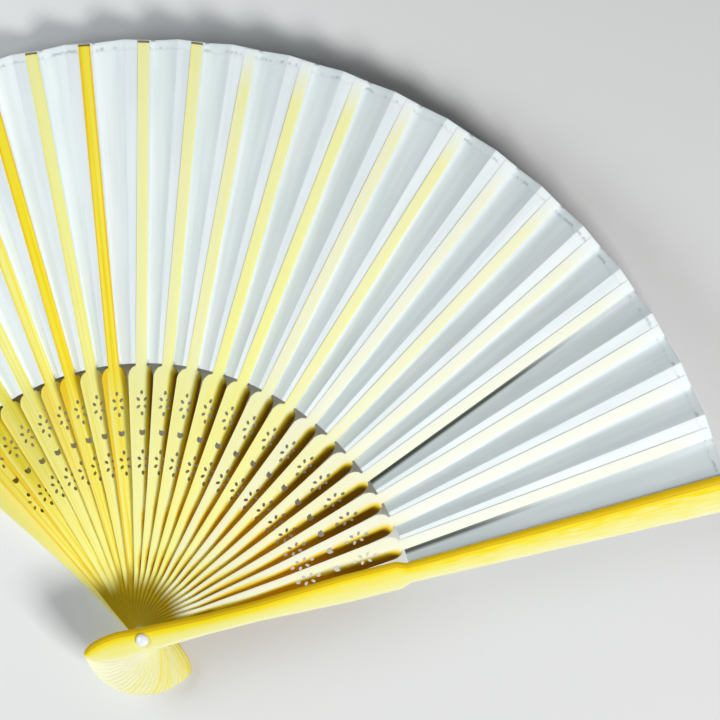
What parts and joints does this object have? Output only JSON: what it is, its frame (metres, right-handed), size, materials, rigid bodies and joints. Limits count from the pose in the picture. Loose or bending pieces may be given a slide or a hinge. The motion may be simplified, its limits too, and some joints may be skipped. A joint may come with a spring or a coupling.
{
  "type": "folding hand fan",
  "caption": "Folding hand fan with pierced bamboo sticks and a pleated silk leaf, which opens and closes about the rivet at its base.",
  "frame": {"origin": "centre of the flat back face of the rivet's cap, on the axis that every stick turns about", "axes": "+Z along the rivet, from the back guard towards the front guard; +X towards the right-hand end of the open leaf, seen from the front; +Y towards the leaf's rim"},
  "size_m": [0.3325, 0.2137, 0.0288],
  "materials": {
    "bamboo": "satin, lightly oiled, with fine lengthwise fibres",
    "silk": "white woven silk with a soft sheen",
    "pearl": "polished pearly white"
  },
  "bodies": {
    "back_guard": {"back_guard": "bamboo", "leaf_00": "silk", "rivet": "pearl", "rivet_cap": "pearl"},
    "rib_01": {"rib_01": "bamboo", "leaf_01": "silk"},
    "rib_02": {"rib_02": "bamboo", "leaf_02": "silk"},
    "rib_03": {"rib_03": "bamboo", "leaf_03": "silk"},
    "rib_04": {"rib_04": "bamboo", "leaf_04": "silk"},
    "rib_05": {"rib_05": "bamboo", "leaf_05": "silk"},
    "rib_06": {"rib_06": "bamboo", "leaf_06": "silk"},
    "rib_07": {"rib_07": "bamboo", "leaf_07": "silk"},
    "rib_08": {"rib_08": "bamboo", "leaf_08": "silk"},
    "rib_09": {"rib_09": "bamboo", "leaf_09": "silk"},
    "rib_10": {"rib_10": "bamboo", "leaf_10": "silk"},
    "rib_11": {"rib_11": "bamboo", "leaf_11": "silk"},
    "rib_12": {"rib_12": "bamboo", "leaf_12": "silk"},
    "rib_13": {"rib_13": "bamboo", "leaf_13": "silk"},
    "rib_14": {"rib_14": "bamboo", "leaf_14": "silk"},
    "rib_15": {"rib_15": "bamboo", "leaf_15": "silk"},
    "rib_16": {"rib_16": "bamboo", "leaf_16": "silk"},
    "rib_17": {"rib_17": "bamboo", "leaf_17": "silk"},
    "rib_18": {"rib_18": "bamboo", "leaf_18": "silk"},
    "rib_19": {"rib_19": "bamboo", "leaf_19": "silk"},
    "rib_20": {"rib_20": "bamboo", "leaf_20": "silk"},
    "rib_21": {"rib_21": "bamboo", "leaf_21": "silk"},
    "rib_22": {"rib_22": "bamboo", "leaf_22": "silk"},
    "front_guard": {"front_guard": "bamboo", "leaf_23": "silk"}
  },
  "joints": [
    {"name": "rib_01_pivot", "type": "hinge", "parent": "back_guard", "child": "rib_01", "pos_m": [0, 0, 0.00353], "axis": [0, 0, 1], "range_deg": [-0.82, 4.8], "deforming": ["leaf_00", "leaf_01"]},
    {"name": "rib_02_pivot", "type": "hinge", "parent": "rib_01", "child": "rib_02", "pos_m": [0, 0, 0.00448], "axis": [0, 0, 1], "range_deg": [-0.79, 4.51], "deforming": ["leaf_02"]},
    {"name": "rib_03_pivot", "type": "hinge", "parent": "rib_02", "child": "rib_03", "pos_m": [0, 0, 0.00543], "axis": [0, 0, 1], "range_deg": [-0.87, 5.01], "deforming": ["leaf_03"]},
    {"name": "rib_04_pivot", "type": "hinge", "parent": "rib_03", "child": "rib_04", "pos_m": [0, 0, 0.00638], "axis": [0, 0, 1], "range_deg": [-0.89, 5.11], "deforming": ["leaf_04"]},
    {"name": "rib_05_pivot", "type": "hinge", "parent": "rib_04", "child": "rib_05", "pos_m": [0, 0, 0.00733], "axis": [0, 0, 1], "range_deg": [-0.89, 5.11], "deforming": ["leaf_05"]},
    {"name": "rib_06_pivot", "type": "hinge", "parent": "rib_05", "child": "rib_06", "pos_m": [0, 0, 0.00828], "axis": [0, 0, 1], "range_deg": [-0.79, 4.51], "deforming": ["leaf_06"]},
    {"name": "rib_07_pivot", "type": "hinge", "parent": "rib_06", "child": "rib_07", "pos_m": [0, 0, 0.00923], "axis": [0, 0, 1], "range_deg": [-0.82, 4.71], "deforming": ["leaf_07"]},
    {"name": "rib_08_pivot", "type": "hinge", "parent": "rib_07", "child": "rib_08", "pos_m": [0, 0, 0.01018], "axis": [0, 0, 1], "range_deg": [-0.85, 4.91], "deforming": ["leaf_08"]},
    {"name": "rib_09_pivot", "type": "hinge", "parent": "rib_08", "child": "rib_09", "pos_m": [0, 0, 0.01113], "axis": [0, 0, 1], "range_deg": [-1.02, 5.91], "deforming": ["leaf_09"]},
    {"name": "rib_10_pivot", "type": "hinge", "parent": "rib_09", "child": "rib_10", "pos_m": [0, 0, 0.01208], "axis": [0, 0, 1], "range_deg": [-0.97, 5.61], "deforming": ["leaf_10"]},
    {"name": "rib_11_pivot", "type": "hinge", "parent": "rib_10", "child": "rib_11", "pos_m": [0, 0, 0.01303], "axis": [0, 0, 1], "range_deg": [-0.9, 5.21], "deforming": ["leaf_11"]},
    {"name": "rib_12_pivot", "type": "hinge", "parent": "rib_11", "child": "rib_12", "pos_m": [0, 0, 0.01398], "axis": [0, 0, 1], "range_deg": [-0.99, 5.71], "deforming": ["leaf_12"]},
    {"name": "rib_13_pivot", "type": "hinge", "parent": "rib_12", "child": "rib_13", "pos_m": [0, 0, 0.01493], "axis": [0, 0, 1], "range_deg": [-0.94, 5.41], "deforming": ["leaf_13"]},
    {"name": "rib_14_pivot", "type": "hinge", "parent": "rib_13", "child": "rib_14", "pos_m": [0, 0, 0.01588], "axis": [0, 0, 1], "range_deg": [-0.97, 5.61], "deforming": ["leaf_14"]},
    {"name": "rib_15_pivot", "type": "hinge", "parent": "rib_14", "child": "rib_15", "pos_m": [0, 0, 0.01683], "axis": [0, 0, 1], "range_deg": [-0.96, 5.51], "deforming": ["leaf_15"]},
    {"name": "rib_16_pivot", "type": "hinge", "parent": "rib_15", "child": "rib_16", "pos_m": [0, 0, 0.01778], "axis": [0, 0, 1], "range_deg": [-0.96, 5.51], "deforming": ["leaf_16"]},
    {"name": "rib_17_pivot", "type": "hinge", "parent": "rib_16", "child": "rib_17", "pos_m": [0, 0, 0.01873], "axis": [0, 0, 1], "range_deg": [-0.96, 5.51], "deforming": ["leaf_17"]},
    {"name": "rib_18_pivot", "type": "hinge", "parent": "rib_17", "child": "rib_18", "pos_m": [0, 0, 0.01968], "axis": [0, 0, 1], "range_deg": [-0.96, 5.51], "deforming": ["leaf_18"]},
    {"name": "rib_19_pivot", "type": "hinge", "parent": "rib_18", "child": "rib_19", "pos_m": [0, 0, 0.02063], "axis": [0, 0, 1], "range_deg": [-0.94, 5.41], "deforming": ["leaf_19"]},
    {"name": "rib_20_pivot", "type": "hinge", "parent": "rib_19", "child": "rib_20", "pos_m": [0, 0, 0.02158], "axis": [0, 0, 1], "range_deg": [-0.94, 5.41], "deforming": ["leaf_20"]},
    {"name": "rib_21_pivot", "type": "hinge", "parent": "rib_20", "child": "rib_21", "pos_m": [0, 0, 0.02253], "axis": [0, 0, 1], "range_deg": [-0.92, 5.31], "deforming": ["leaf_21"]},
    {"name": "rib_22_pivot", "type": "hinge", "parent": "rib_21", "child": "rib_22", "pos_m": [0, 0, 0.02348], "axis": [0, 0, 1], "range_deg": [-0.92, 5.31], "deforming": ["leaf_22"]},
    {"name": "front_guard_pivot", "type": "hinge", "parent": "rib_22", "child": "front_guard", "pos_m": [0, 0, 0.02443], "axis": [0, 0, 1], "range_deg": [-1.02, 5.91], "deforming": ["leaf_23"]}
  ],
  "couplings": [
    {"joint": "rib_02_pivot", "follows": "rib_01_pivot", "ratio": 0.9375},
    {"joint": "rib_03_pivot", "follows": "rib_01_pivot", "ratio": 1.0417},
    {"joint": "rib_04_pivot", "follows": "rib_01_pivot", "ratio": 1.0625},
    {"joint": "rib_05_pivot", "follows": "rib_01_pivot", "ratio": 1.0625},
    {"joint": "rib_06_pivot", "follows": "rib_01_pivot", "ratio": 0.9375},
    {"joint": "rib_07_pivot", "follows": "rib_01_pivot", "ratio": 0.97917},
    {"joint": "rib_08_pivot", "follows": "rib_01_pivot", "ratio": 1.0208},
    {"joint": "rib_09_pivot", "follows": "rib_01_pivot", "ratio": 1.2292},
    {"joint": "rib_10_pivot", "follows": "rib_01_pivot", "ratio": 1.1667},
    {"joint": "rib_11_pivot", "follows": "rib_01_pivot", "ratio": 1.0833},
    {"joint": "rib_12_pivot", "follows": "rib_01_pivot", "ratio": 1.1875},
    {"joint": "rib_13_pivot", "follows": "rib_01_pivot", "ratio": 1.125},
    {"joint": "rib_14_pivot", "follows": "rib_01_pivot", "ratio": 1.1667},
    {"joint": "rib_15_pivot", "follows": "rib_01_pivot", "ratio": 1.1458},
    {"joint": "rib_16_pivot", "follows": "rib_01_pivot", "ratio": 1.1458},
    {"joint": "rib_17_pivot", "follows": "rib_01_pivot", "ratio": 1.1458},
    {"joint": "rib_18_pivot", "follows": "rib_01_pivot", "ratio": 1.1458},
    {"joint": "rib_19_pivot", "follows": "rib_01_pivot", "ratio": 1.125},
    {"joint": "rib_20_pivot", "follows": "rib_01_pivot", "ratio": 1.125},
    {"joint": "rib_21_pivot", "follows": "rib_01_pivot", "ratio": 1.1042},
    {"joint": "rib_22_pivot", "follows": "rib_01_pivot", "ratio": 1.1042},
    {"joint": "front_guard_pivot", "follows": "rib_01_pivot", "ratio": 1.2292}
  ]
}
